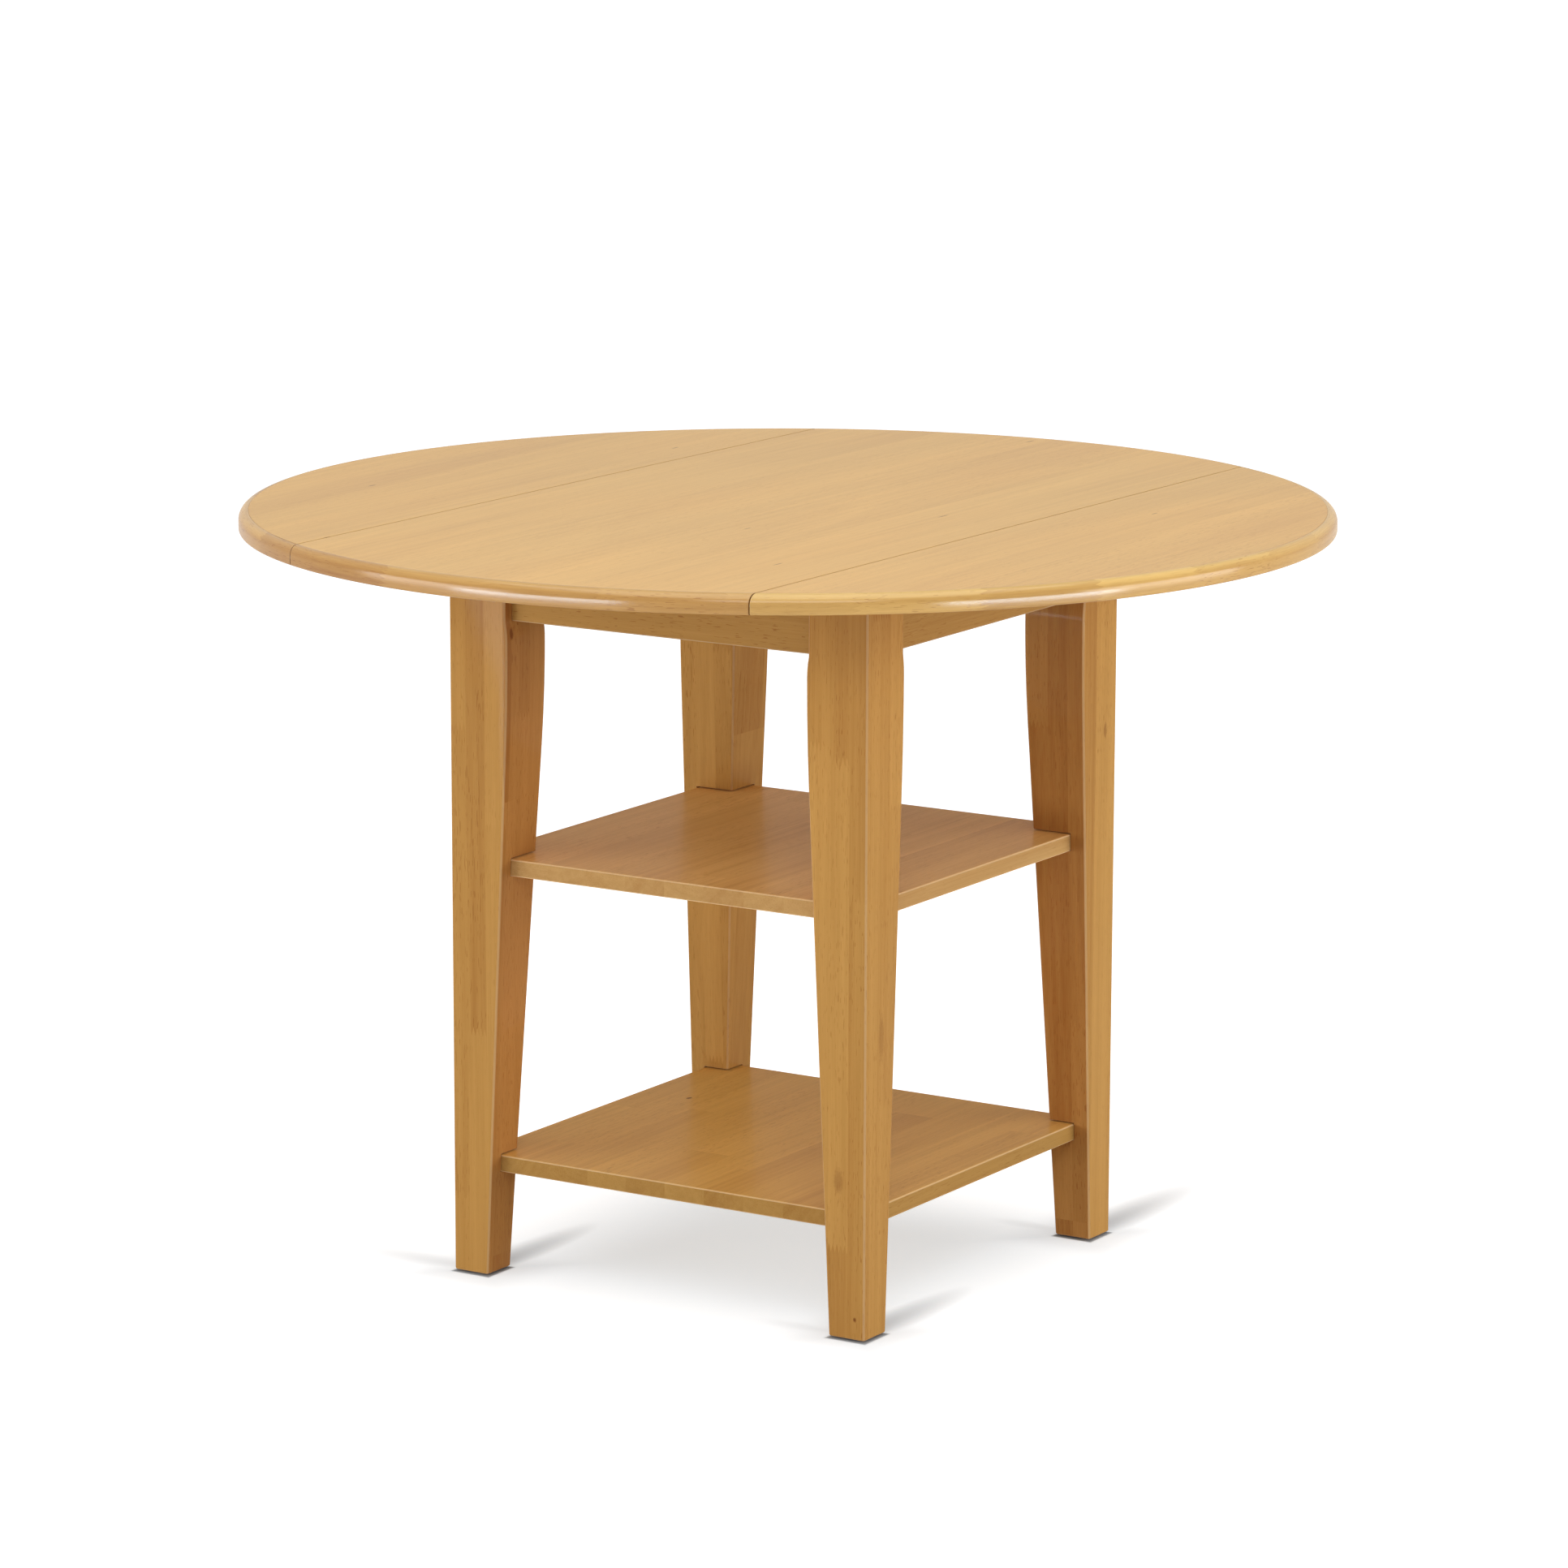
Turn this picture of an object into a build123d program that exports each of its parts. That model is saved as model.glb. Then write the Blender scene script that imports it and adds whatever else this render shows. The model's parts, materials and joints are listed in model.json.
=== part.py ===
from build123d import *
import os
from math import cos, pi, sin, sqrt

# Round drop leaf table in rubberwood with two shelves. Millimetres, +Z up.
# The origin is on the floor under the middle of the table. The two hinge seams run
# along Y, so the right leaf drops at +X and the left leaf at -X. The front is -Y.
# The table is shown with both leaves up and the leaf supports slid in.

# Top
TABLE_HEIGHT = 754.0
TOP_DIAMETER = 1066.8
TOP_THICKNESS = 19.0
CENTRE_WIDTH = 508.0
SEAM_GAP = 0.8
EDGE_BAND = 10.0
TOP_EDGE_ROUND = 9.5
ROUND_STEPS = 6
UNDER_EDGE_EASE = 2.0

# Legs: the outer faces are plumb, the two inner faces swell under the apron and taper to the foot.
# The base stands inside the seams, so that the leaves can hang beside it.
BASE_INSET = 17.0
LEG_FOOT = 40.0
LEG_POST = 65.5
LEG_SWELL = 67.5
SHOULDER_HEIGHT = 20.0
TAPER_BLEND = 54.0
LEG_ARRIS = 1.8
FOOT_CHAMFER = 1.0
BOLT_FLAT = 12.0

# Aprons
APRON_HEIGHT = 80.0
APRON_THICKNESS = 20.0
APRON_SETBACK = 12.0
APRON_ARRIS = 1.2

# Shelves: square boards, their corners let into the legs
SHELF_SETBACK = 17.0
SHELF_THICKNESS = 17.0
MIDDLE_SHELF_TOP = 419.0
LOWER_SHELF_TOP = 120.5
SHELF_ARRIS = 1.2
NOTCH_SIDE_GAP = 0.3
NOTCH_TOP_GAP = 1.2

# Foot glides
GLIDE_HEIGHT = 2.0
GLIDE_RADIUS = 11.0

# Corner blocks, and the hanger bolts and nuts that hold the legs
BLOCK_THICKNESS = 25.0
BLOCK_RISE = 2.0
BLOCK_HEADROOM = 2.0
BOLT_RADIUS = 4.0
BOLT_GRIP = 40.0
BOLT_SPARE = 4.0
NUT_ACROSS_FLATS = 13.0
NUT_HEIGHT = 6.5

# Sliding leaf supports and the rail that guides their inner ends
LOPER_WIDTH = 22.0
LOPER_HEIGHT = 32.0
LOPER_PROUD = 10.0
LOPER_TAIL = 5.0
LOPER_END_CHAMFER = 2.0
LOPER_ROW_INSET = 31.5
LOPER_ROW_STEP = 45.0
LOPER_SIDE_PLAY = 0.4
LOPER_LIFT = 0.3
STOP_LENGTH = 16.0
STOP_DROP = 12.0
STOP_GAP = 0.3
GUIDE_THICKNESS = 20.0
GUIDE_HEIGHT = 60.0

# Hinges: barrel hung just under the top, its axis in the plane of the seam
HINGE_OFFSET = 310.0
HINGE_WIDTH = 60.0
HINGE_PLATE = 2.0
HINGE_CENTRE_FLAP = 26.0
HINGE_LEAF_FLAP = 48.0
KNUCKLE_COUNT = 3
KNUCKLE_RADIUS = 3.2
KNUCKLE_GAP = 0.3
HINGE_PIN_RADIUS = 1.5
HINGE_AXIS_DROP = 3.5

# Angle brackets
BRACKET_FLANGE = 20.0
BRACKET_WIDTH = 16.0
BRACKET_THICKNESS = 2.0
TOP_BRACKET_OFFSET = 90.0

# Clearances
THREAD_FIT = 0.03
PIN_FIT = 0.05
BOLT_CLEARANCE = 0.4

# Places that follow from the sizes
TOP_RADIUS = TOP_DIAMETER / 2
CORE_RADIUS = TOP_RADIUS - EDGE_BAND
SEAM = CENTRE_WIDTH / 2
UNDERSIDE = TABLE_HEIGHT - TOP_THICKNESS
BASE_HALF = SEAM - BASE_INSET
LEG_INNER = BASE_HALF - LEG_POST
APRON_BOTTOM = UNDERSIDE - APRON_HEIGHT
APRON_OUTER = BASE_HALF - APRON_SETBACK
APRON_INNER = APRON_OUTER - APRON_THICKNESS
SHELF_HALF = BASE_HALF - SHELF_SETBACK
SWELL_TOP = APRON_BOTTOM - SHOULDER_HEIGHT
TAPER_TOP = SWELL_TOP - TAPER_BLEND
TAPER_SLOPE = (LEG_SWELL - LEG_FOOT) / (TAPER_TOP - GLIDE_HEIGHT)
LOPER_FAR = LEG_INNER - LOPER_ROW_INSET
LOPER_NEAR = LOPER_FAR - LOPER_ROW_STEP
LOPER_TRAVEL = APRON_INNER - GUIDE_THICKNESS / 2 - STOP_LENGTH - 2 * STOP_GAP
LOPER_OUTER_END = APRON_OUTER + LOPER_PROUD
LOPER_INNER_END = -GUIDE_THICKNESS / 2 - LOPER_TAIL - LOPER_TRAVEL
LOPER_TOP = UNDERSIDE - LOPER_LIFT
LOPER_BOTTOM = LOPER_TOP - LOPER_HEIGHT
# The corner blocks end just under the path of the stop blocks.
BLOCK_HEIGHT = LOPER_BOTTOM - STOP_DROP - BLOCK_HEADROOM - APRON_BOTTOM - BLOCK_RISE
HINGE_AXIS_Z = UNDERSIDE - HINGE_AXIS_DROP
# The bolt flats of the legs and the backs of the corner blocks lie on |x| + |y| = BLOCK_LINE.
BLOCK_LINE = 2 * LEG_INNER + BOLT_FLAT

SIDES = {"left": -1, "right": 1}
ENDS = {"front": -1, "back": 1}
CORNERS = [(end, side) for end in ENDS for side in SIDES]
# Each leaf has one support near the middle line and one far from it, so that the
# supports of the two leaves pass side by side.
LOPER_PLACES = {
    ("right", "front"): -LOPER_FAR,
    ("right", "back"): LOPER_NEAR,
    ("left", "front"): -LOPER_NEAR,
    ("left", "back"): LOPER_FAR,
}
CENTRE_KNUCKLES = range(0, KNUCKLE_COUNT, 2)
LEAF_KNUCKLES = range(1, KNUCKLE_COUNT, 2)


def save(name, shape):
    """Write one node, named as its file."""
    export_step(shape, f"parts/{name}.step")


def block(x_span, y_span, z_span):
    """A box between two limits along each axis."""
    spans = (x_span, y_span, z_span)
    centre = [sum(span) / 2 for span in spans]
    return Pos(*centre) * Box(*[max(span) - min(span) for span in spans])


def rod(radius, start, length):
    """A cylinder along +Z that begins at height start."""
    return Pos(0, 0, start) * Cylinder(radius, length, align=(Align.CENTER, Align.CENTER, Align.MIN))


def to_corner(shape, end, side):
    """Mirror a shape made for the front left corner to the named corner."""
    if SIDES[side] > 0:
        shape = mirror(shape, about=Plane.YZ)
    if ENDS[end] > 0:
        shape = mirror(shape, about=Plane.XZ)
    return shape


def four(shape):
    """One node of a piece that repeats at all four corners."""
    return Compound([to_corner(shape, end, side) for end, side in CORNERS])


def to_side(shape, side):
    """Turn a shape made for the right-hand side to the named side."""
    return shape if SIDES[side] > 0 else Rot(Z=180) * shape


def upright(shape):
    """The edges of a shape that run mostly up and down."""
    return shape.edges().filter_by(lambda edge: abs(edge.tangent_at(0.5).Z) > 0.9)


# Top


def round_over():
    """Points of the quarter round at the upper edge, from the side face up to the top face."""
    radius, height = TOP_RADIUS - TOP_EDGE_ROUND, TABLE_HEIGHT - TOP_EDGE_ROUND
    angles = [pi / 2 * step / ROUND_STEPS for step in range(ROUND_STEPS + 1)]
    return [(radius + TOP_EDGE_ROUND * cos(a), height + TOP_EDGE_ROUND * sin(a)) for a in angles]


def rim():
    """The solid-wood band round the whole edge: rounded over above, eased below."""
    inner_line = [(CORE_RADIUS, TABLE_HEIGHT), (CORE_RADIUS, UNDERSIDE)]
    ease = [(TOP_RADIUS - UNDER_EDGE_EASE, UNDERSIDE), (TOP_RADIUS, UNDERSIDE + UNDER_EDGE_EASE)]
    section = make_face(Polyline(*inner_line, *ease, *round_over(), close=True))
    return revolve(Plane.XZ * section, Axis.Z)


def core():
    """The veneered disc inside the band."""
    return rod(CORE_RADIUS, UNDERSIDE, TOP_THICKNESS)


def centre_zone(y_span=(-TOP_RADIUS, TOP_RADIUS)):
    """The strip of the top between the seams."""
    reach = SEAM - SEAM_GAP / 2
    return block((-reach, reach), y_span, (UNDERSIDE, TABLE_HEIGHT))


def leaf_zone():
    """The part of the top beyond the right-hand seam."""
    return block((SEAM + SEAM_GAP / 2, TOP_RADIUS), (-TOP_RADIUS, TOP_RADIUS), (UNDERSIDE, TABLE_HEIGHT))


def make_top():
    band, disc = rim(), core()
    save("centre_panel", disc & centre_zone())
    save("centre_edge_front", band & centre_zone((-TOP_RADIUS, 0)))
    save("centre_edge_back", band & centre_zone((0, TOP_RADIUS)))
    for side in SIDES:
        save(f"{side}_leaf_panel", to_side(disc & leaf_zone(), side))
        save(f"{side}_leaf_edge", to_side(band & leaf_zone(), side))


# Hinges, made for the right-hand seam


def hinge_axis():
    """The plane square to the seam in which the barrel is drawn."""
    return Plane(origin=(SEAM, 0, HINGE_AXIS_Z), z_dir=(0, 1, 0))


def knuckle(index, near):
    """One knuckle and the tongue that carries it out of its flap."""
    pitch = HINGE_WIDTH / KNUCKLE_COUNT
    start = -HINGE_WIDTH / 2 + index * pitch + KNUCKLE_GAP / 2
    length = pitch - KNUCKLE_GAP
    tongue = block(sorted((SEAM, near)), (start, start + length), (UNDERSIDE - HINGE_PLATE, UNDERSIDE))
    return tongue + hinge_axis() * rod(KNUCKLE_RADIUS, start, length)


def hinge_flap(reach, toward, knuckles):
    """One flap with its knuckles; toward is -1 on the centre board and 1 on the leaf."""
    near = SEAM + toward * (KNUCKLE_RADIUS + KNUCKLE_GAP)
    across = (-HINGE_WIDTH / 2, HINGE_WIDTH / 2)
    flap = block(sorted((near, SEAM + toward * reach)), across, (UNDERSIDE - HINGE_PLATE, UNDERSIDE))
    for index in knuckles:
        flap += knuckle(index, near)
    bore = rod(HINGE_PIN_RADIUS + PIN_FIT, -HINGE_WIDTH, 2 * HINGE_WIDTH)
    return flap - hinge_axis() * bore


def hinge_pin():
    """The pin through all the knuckles."""
    return hinge_axis() * rod(HINGE_PIN_RADIUS, -HINGE_WIDTH / 2, HINGE_WIDTH)


def make_hinges():
    pieces = {
        "hinge_centre_flaps": hinge_flap(HINGE_CENTRE_FLAP, -1, CENTRE_KNUCKLES),
        "hinge_leaf_flaps": hinge_flap(HINGE_LEAF_FLAP, 1, LEAF_KNUCKLES),
        "hinge_pins": hinge_pin(),
    }
    for name, piece in pieces.items():
        pair = Compound([Pos(0, y, 0) * piece for y in (-HINGE_OFFSET, HINGE_OFFSET)])
        for side in SIDES:
            save(f"{side}_{name}", to_side(pair, side))


# Legs, made for the front left corner. A leg's own frame has its outer corner on the
# Z axis and grows inward along +X and +Y.


def outer_corner():
    """Places the leg's own frame at the front left corner of the base."""
    return Pos(-BASE_HALF, -BASE_HALF, 0)


def leg_side():
    """A leg seen square on: tapered from the foot, blended to the swell, drawn in at the apron."""
    swell, corner = Vector(LEG_SWELL, SWELL_TOP), Vector(LEG_SWELL, TAPER_TOP)
    foot = Vector(LEG_FOOT, GLIDE_HEIGHT)
    blend_start = corner + (foot - corner).normalized() * TAPER_BLEND
    outline = [
        Polyline((LEG_POST, APRON_BOTTOM), (0, APRON_BOTTOM), (0, GLIDE_HEIGHT), foot, blend_start),
        TangentArc(swell, blend_start, tangent=(0, -1)),
        TangentArc(swell, (LEG_POST, APRON_BOTTOM), tangent=(0, 1)),
    ]
    return make_face(outline)


def leg_width(z):
    """Width of a leg on its straight taper."""
    return LEG_FOOT + TAPER_SLOPE * (z - GLIDE_HEIGHT)


def leg():
    """A whole leg in its own frame, with its shelf notches and its bolt flat."""
    side = leg_side()
    shaft = extrude(Plane.XZ * side, -LEG_SWELL) & extrude(Plane.YZ * side, LEG_SWELL)
    shaft = chamfer(upright(shaft), LEG_ARRIS)
    shaft = chamfer(shaft.faces().sort_by(Axis.Z)[0].edges(), FOOT_CHAMFER)
    body = shaft + extrude(shaft.faces().sort_by(Axis.Z)[-1], APRON_HEIGHT)
    reach = (SHELF_SETBACK - NOTCH_SIDE_GAP, LEG_SWELL)
    for shelf_top in (MIDDLE_SHELF_TOP, LOWER_SHELF_TOP):
        body -= block(reach, reach, (shelf_top - SHELF_THICKNESS, shelf_top + NOTCH_TOP_GAP))
    corner, flat = LEG_POST, LEG_POST - BOLT_FLAT
    cut = make_face(Polyline((corner, flat), (corner, corner), (flat, corner), close=True))
    return body - extrude(Pos(0, 0, APRON_BOTTOM) * cut, APRON_HEIGHT)


def bolt_plane():
    """At the middle of the leg's bolt flat, pointing to the middle of the table."""
    height = APRON_BOTTOM + BLOCK_RISE + BLOCK_HEIGHT / 2
    return Plane(origin=(-BLOCK_LINE / 2, -BLOCK_LINE / 2, height), x_dir=(1, -1, 0), z_dir=(1, 1, 0))


def corner_block():
    """Diagonal block across the corner, flush on both aprons and on the leg's bolt flat."""
    front_line = BLOCK_LINE - BLOCK_THICKNESS * sqrt(2)
    edge = APRON_INNER
    outline = Polyline(
        (-edge, edge - BLOCK_LINE),
        (-edge, edge - front_line),
        (edge - front_line, -edge),
        (edge - BLOCK_LINE, -edge),
        close=True,
    )
    body = extrude(Pos(0, 0, APRON_BOTTOM + BLOCK_RISE) * make_face(outline), BLOCK_HEIGHT)
    return body - bolt_plane() * rod(BOLT_RADIUS + BOLT_CLEARANCE, -BOLT_GRIP, 2 * BOLT_GRIP)


def hanger_bolt():
    """Bolt from inside the leg out past the nut."""
    return bolt_plane() * rod(BOLT_RADIUS, -BOLT_GRIP, BOLT_GRIP + BLOCK_THICKNESS + NUT_HEIGHT + BOLT_SPARE)


def bolt_nut():
    """Hexagon nut that draws the leg against its corner block."""
    hexagon = RegularPolygon(NUT_ACROSS_FLATS / 2, 6, major_radius=False)
    body = extrude(Pos(0, 0, BLOCK_THICKNESS) * hexagon, NUT_HEIGHT)
    return bolt_plane() * (body - rod(BOLT_RADIUS + THREAD_FIT, 0, 2 * BLOCK_THICKNESS))


def make_corners():
    bolt_hole = bolt_plane() * rod(BOLT_RADIUS + THREAD_FIT, -BOLT_GRIP, BOLT_GRIP)
    one_leg = outer_corner() * leg() - bolt_hole
    one_block = corner_block()
    for end, side in CORNERS:
        save(f"{end}_{side}_leg", to_corner(one_leg, end, side))
        save(f"{end}_{side}_corner_block", to_corner(one_block, end, side))
    middle_of_foot = Pos(LEG_FOOT / 2, LEG_FOOT / 2, 0)
    save("foot_glides", four(outer_corner() * middle_of_foot * rod(GLIDE_RADIUS, 0, GLIDE_HEIGHT)))
    save("hanger_bolts", four(hanger_bolt()))
    save("bolt_nuts", four(bolt_nut()))


# Aprons, guide rail and leaf supports


def loper_slot(x_span, y):
    """The notch, open at the top, in which a leaf support slides."""
    half = LOPER_WIDTH / 2 + LOPER_SIDE_PLAY
    return block(x_span, (y - half, y + half), (LOPER_BOTTOM - LOPER_LIFT, UNDERSIDE))


def apron():
    """The plain front apron, between the front legs, its lower arrises eased."""
    body = block((-LEG_INNER, LEG_INNER), (-APRON_OUTER, -APRON_INNER), (APRON_BOTTOM, UNDERSIDE))
    lower = body.edges().filter_by(Axis.X).sort_by(Axis.Z)[:2]
    return chamfer(lower, APRON_ARRIS)


def make_aprons():
    plain = apron()
    save("front_apron", plain)
    save("back_apron", Rot(Z=180) * plain)
    for side, sign in SIDES.items():
        body = Rot(Z=90 * sign) * plain
        for (leaf, _), y in LOPER_PLACES.items():
            if leaf == side:
                body -= loper_slot(sorted((0, sign * TOP_RADIUS)), y)
        save(f"{side}_apron", body)


def guide_rail():
    """Rail from front apron to back apron, notched for all four supports."""
    half = GUIDE_THICKNESS / 2
    body = block((-half, half), (-APRON_INNER, APRON_INNER), (UNDERSIDE - GUIDE_HEIGHT, UNDERSIDE))
    return body - [loper_slot((-half, half), y) for y in LOPER_PLACES.values()]


def loper(y):
    """A support of the right leaf at rest, slid in."""
    half = LOPER_WIDTH / 2
    body = block((LOPER_INNER_END, LOPER_OUTER_END), (y - half, y + half), (LOPER_BOTTOM, LOPER_TOP))
    return chamfer(body.faces().sort_by(Axis.X)[-1].edges(), LOPER_END_CHAMFER)


def stop_block(y):
    """The block that meets the guide rail at one end of the travel and the apron at the other."""
    start = GUIDE_THICKNESS / 2 + STOP_GAP
    across = (y - LOPER_WIDTH / 2, y + LOPER_WIDTH / 2)
    return block((start, start + STOP_LENGTH), across, (LOPER_BOTTOM - STOP_DROP, LOPER_BOTTOM))


def make_supports():
    save("guide_rail", guide_rail())
    for (side, end), y in LOPER_PLACES.items():
        place = SIDES[side] * y
        save(f"{side}_{end}_loper", to_side(loper(place), side))
        save(f"{side}_{end}_stop_block", to_side(stop_block(place), side))


# Shelves and angle brackets


def angle_bracket(lean=0.0):
    """Bracket in the XZ plane with its heel at the origin: one flange along +X, one down, leaning."""
    reach, wall = BRACKET_FLANGE, BRACKET_THICKNESS
    outline = Polyline(
        (0, 0),
        (reach, 0),
        (reach, -wall),
        (wall - lean * wall, -wall),
        (wall - lean * reach, -reach),
        (-lean * reach, -reach),
        close=True,
    )
    return extrude(Plane.XZ * make_face(outline), BRACKET_WIDTH / 2, both=True)


def top_bracket_frames():
    """Places of the brackets between the aprons and the underside of the centre board."""
    frames = [Rot(Z=turn) for turn in (0, 180)]
    rows = (-TOP_BRACKET_OFFSET, TOP_BRACKET_OFFSET)
    frames += [Rot(Z=turn) * Pos(0, y, 0) for turn in (90, 270) for y in rows]
    return [frame * Pos(-APRON_INNER, 0, UNDERSIDE) for frame in frames]


def shelf_brackets(shelf_top):
    """Brackets under a shelf, where they show least: against the legs' inner faces, which
    are the ones that look to the back on the front legs and to the side on the back legs."""
    under = shelf_top - SHELF_THICKNESS
    width = leg_width(under)
    middle = (SHELF_SETBACK + width) / 2
    sideways = Pos(width - BASE_HALF, middle - BASE_HALF, under) * angle_bracket(TAPER_SLOPE)
    backward = mirror(sideways, about=Plane((0, 0, 0), z_dir=(1, -1, 0)))
    made = {"front": backward, "back": sideways}
    return Compound([to_corner(made[end], end, side) for end, side in CORNERS])


def make_shelves():
    reach = (-SHELF_HALF, SHELF_HALF)
    for name, shelf_top in (("middle", MIDDLE_SHELF_TOP), ("lower", LOWER_SHELF_TOP)):
        board = block(reach, reach, (shelf_top - SHELF_THICKNESS, shelf_top))
        save(f"{name}_shelf", chamfer(board.edges(), SHELF_ARRIS))
        save(f"{name}_shelf_brackets", shelf_brackets(shelf_top))
    save("top_brackets", Compound([frame * angle_bracket() for frame in top_bracket_frames()]))


os.makedirs("parts", exist_ok=True)
make_top()
make_hinges()
make_corners()
make_aprons()
make_supports()
make_shelves()
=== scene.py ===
import json
import math

import bmesh
import bpy
from mathutils import Euler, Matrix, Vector

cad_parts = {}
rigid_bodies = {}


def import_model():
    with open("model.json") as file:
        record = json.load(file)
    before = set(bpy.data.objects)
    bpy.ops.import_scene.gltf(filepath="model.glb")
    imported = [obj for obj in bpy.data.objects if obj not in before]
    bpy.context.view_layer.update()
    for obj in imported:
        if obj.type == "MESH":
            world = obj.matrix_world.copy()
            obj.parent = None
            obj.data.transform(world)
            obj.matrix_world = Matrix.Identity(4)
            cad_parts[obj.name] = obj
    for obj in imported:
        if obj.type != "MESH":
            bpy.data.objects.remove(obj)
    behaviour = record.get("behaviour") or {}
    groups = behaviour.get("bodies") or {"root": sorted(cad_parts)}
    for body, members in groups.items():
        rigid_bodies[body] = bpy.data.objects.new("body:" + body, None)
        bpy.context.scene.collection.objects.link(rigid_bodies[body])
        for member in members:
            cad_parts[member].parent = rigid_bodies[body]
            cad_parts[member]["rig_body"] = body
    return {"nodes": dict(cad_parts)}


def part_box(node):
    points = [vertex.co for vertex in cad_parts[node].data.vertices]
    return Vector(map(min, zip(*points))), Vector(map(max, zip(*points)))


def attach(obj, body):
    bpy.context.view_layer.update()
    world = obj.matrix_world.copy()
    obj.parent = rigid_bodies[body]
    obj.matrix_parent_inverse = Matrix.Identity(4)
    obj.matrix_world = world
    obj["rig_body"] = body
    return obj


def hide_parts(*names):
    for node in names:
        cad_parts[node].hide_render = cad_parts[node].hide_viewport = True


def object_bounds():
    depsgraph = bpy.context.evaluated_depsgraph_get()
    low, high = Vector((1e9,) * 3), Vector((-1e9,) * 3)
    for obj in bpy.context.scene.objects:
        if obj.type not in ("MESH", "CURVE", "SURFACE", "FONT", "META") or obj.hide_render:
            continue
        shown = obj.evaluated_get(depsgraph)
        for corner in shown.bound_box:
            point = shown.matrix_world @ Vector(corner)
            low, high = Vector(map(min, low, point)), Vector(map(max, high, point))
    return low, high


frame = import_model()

# Round drop leaf table in rubberwood. Metres, in the frame of the CAD model: the seams
# run along Y, the leaves are at -X and +X, and the front is -Y.

CAD_LOW, CAD_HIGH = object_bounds()
MM = 0.001

# Lengths of the CAD model that its boxes do not give
GLIDE_RADIUS = 11 * MM
STEEL_THICKNESS = 2 * MM

# Places read from the frame
PANEL_LOW, PANEL_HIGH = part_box("centre_panel")
LEAF_LOW, LEAF_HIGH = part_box("right_leaf_panel")
LEG_LOW, LEG_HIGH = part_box("front_left_leg")
MIDDLE_SHELF_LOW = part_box("middle_shelf")[0].z
LOWER_SHELF_LOW, LOWER_SHELF_HIGH = (corner.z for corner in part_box("lower_shelf"))
SEAM_LOW, SEAM_HIGH = PANEL_HIGH.x, LEAF_LOW.x
SEAM_MIDDLE = (SEAM_LOW + SEAM_HIGH) / 2
UNDERSIDE, TABLE_TOP = PANEL_LOW.z, PANEL_HIGH.z
TOP_RADIUS = CAD_HIGH.x
CORE_RADIUS = LEAF_HIGH.x
LEG_CENTRE = -(LEG_LOW.x + LEG_HIGH.x) / 2
FOOT_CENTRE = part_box("foot_glides")[1].x - GLIDE_RADIUS
FOOT_HALF = -LEG_LOW.x - FOOT_CENTRE


def notch_of(shelf):
    """How far from the middle a shelf's corner notches begin, and the shelf's height."""
    places = [vert.co for vert in frame["nodes"][shelf].data.vertices]
    return min(max(abs(p.x), abs(p.y)) for p in places), places[0].z


MIDDLE_NOTCH, MIDDLE_LEVEL = notch_of("middle_shelf")
LOWER_NOTCH, LOWER_LEVEL = notch_of("lower_shelf")

# Names that are used in loops
SIDES = ("left", "right")
ENDS = ("front", "back")
BRACKETS = ("middle_shelf_brackets", "lower_shelf_brackets", "top_brackets")
UP, DOWN = Vector((0.0, 0.0, 1.0)), Vector((0.0, 0.0, -1.0))

# Softened edges
TOP_EDGE_ROUND = 9.5 * MM
UNDER_EDGE_ROUND = 2.0 * MM
SEAM_EASE = 0.6 * MM
LEG_ARRIS = 0.7 * MM
BOARD_ARRIS = 0.6 * MM
SHELF_ARRIS = 1.2 * MM
METAL_ARRIS = 0.25 * MM
METAL_ANGLE = 40
ARRIS_STEPS = 3
ARC_STEPS = 96

# Points of the solids that lie closer than this are taken for one
SAME_POINT = 0.001 * MM
SAME_POINT_DRESSED = 0.01 * MM

# Boards that the pieces are glued up from, and the finger joints between their lengths
TOP_STAVE = 0.13
RIM_BLOCK = 0.118
LEG_STAVE, LEG_STAVE_LENGTH = 21.8 * MM, 0.47
SHELF_STAVE, SHELF_STAVE_LENGTH = 45 * MM, 0.62
APRON_BOARD = (0.09, 0.7)
RAIL_BOARD = (0.07, 0.9)
FINGER, FINGER_SLOPE = 4.4 * MM, 4.0

# Colours, sRGB from 0 to 255
TOP_WOOD = (228, 185, 113)
RIM_WOOD = (180, 131, 66)
LEG_WOOD = (182, 133, 69)
# Darker than the legs, as painted shade under the top
APRON_SHADED_WOOD = (164, 121, 63)
INNER_WOOD = (186, 142, 90)
# Paler than the lower shelf, as painted light
MIDDLE_SHELF_BRIGHTENED_WOOD = (246, 200, 129)
LOWER_SHELF_WOOD = (226, 179, 101)
COOL_CLOUD, WARM_CLOUD = (214, 190, 158), (238, 200, 140)
# Painted shade in the seam gaps
SEAM_SHADE_BROWN = (120, 80, 42)
# Painted shade at the shelves' notches round the legs
NOTCH_SHADE_BROWN = (78, 42, 20)
KNOT_BROWN = (118, 66, 30)
# Pale arrises: worn lacquer and a painted highlight
ARRIS_WEAR_AND_HIGHLIGHT = (240, 212, 178)
HINGE_METAL = (196, 192, 184)
BRACKET_METAL = (190, 188, 182)
SCREW_METAL = (198, 190, 168)
BOLT_METAL = (205, 200, 186)
GLIDE_GREY = (62, 60, 58)

# Tints, which multiply a colour, and how far below a leg's top its painted shade starts and is full
DARK_GRAIN, LIGHT_GRAIN = (0.72, 0.58, 0.48), (1.26, 1.33, 1.45)
PORE_TINT = (0.56, 0.36, 0.25)
# Painted light on the band where it faces up
RIM_LIGHT_FROM_ABOVE = (1.32, 1.52, 1.80, 1.0)
RIM_OF_RIGHT_LEAF = (1.17, 1.28, 1.32, 1.0)
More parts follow.
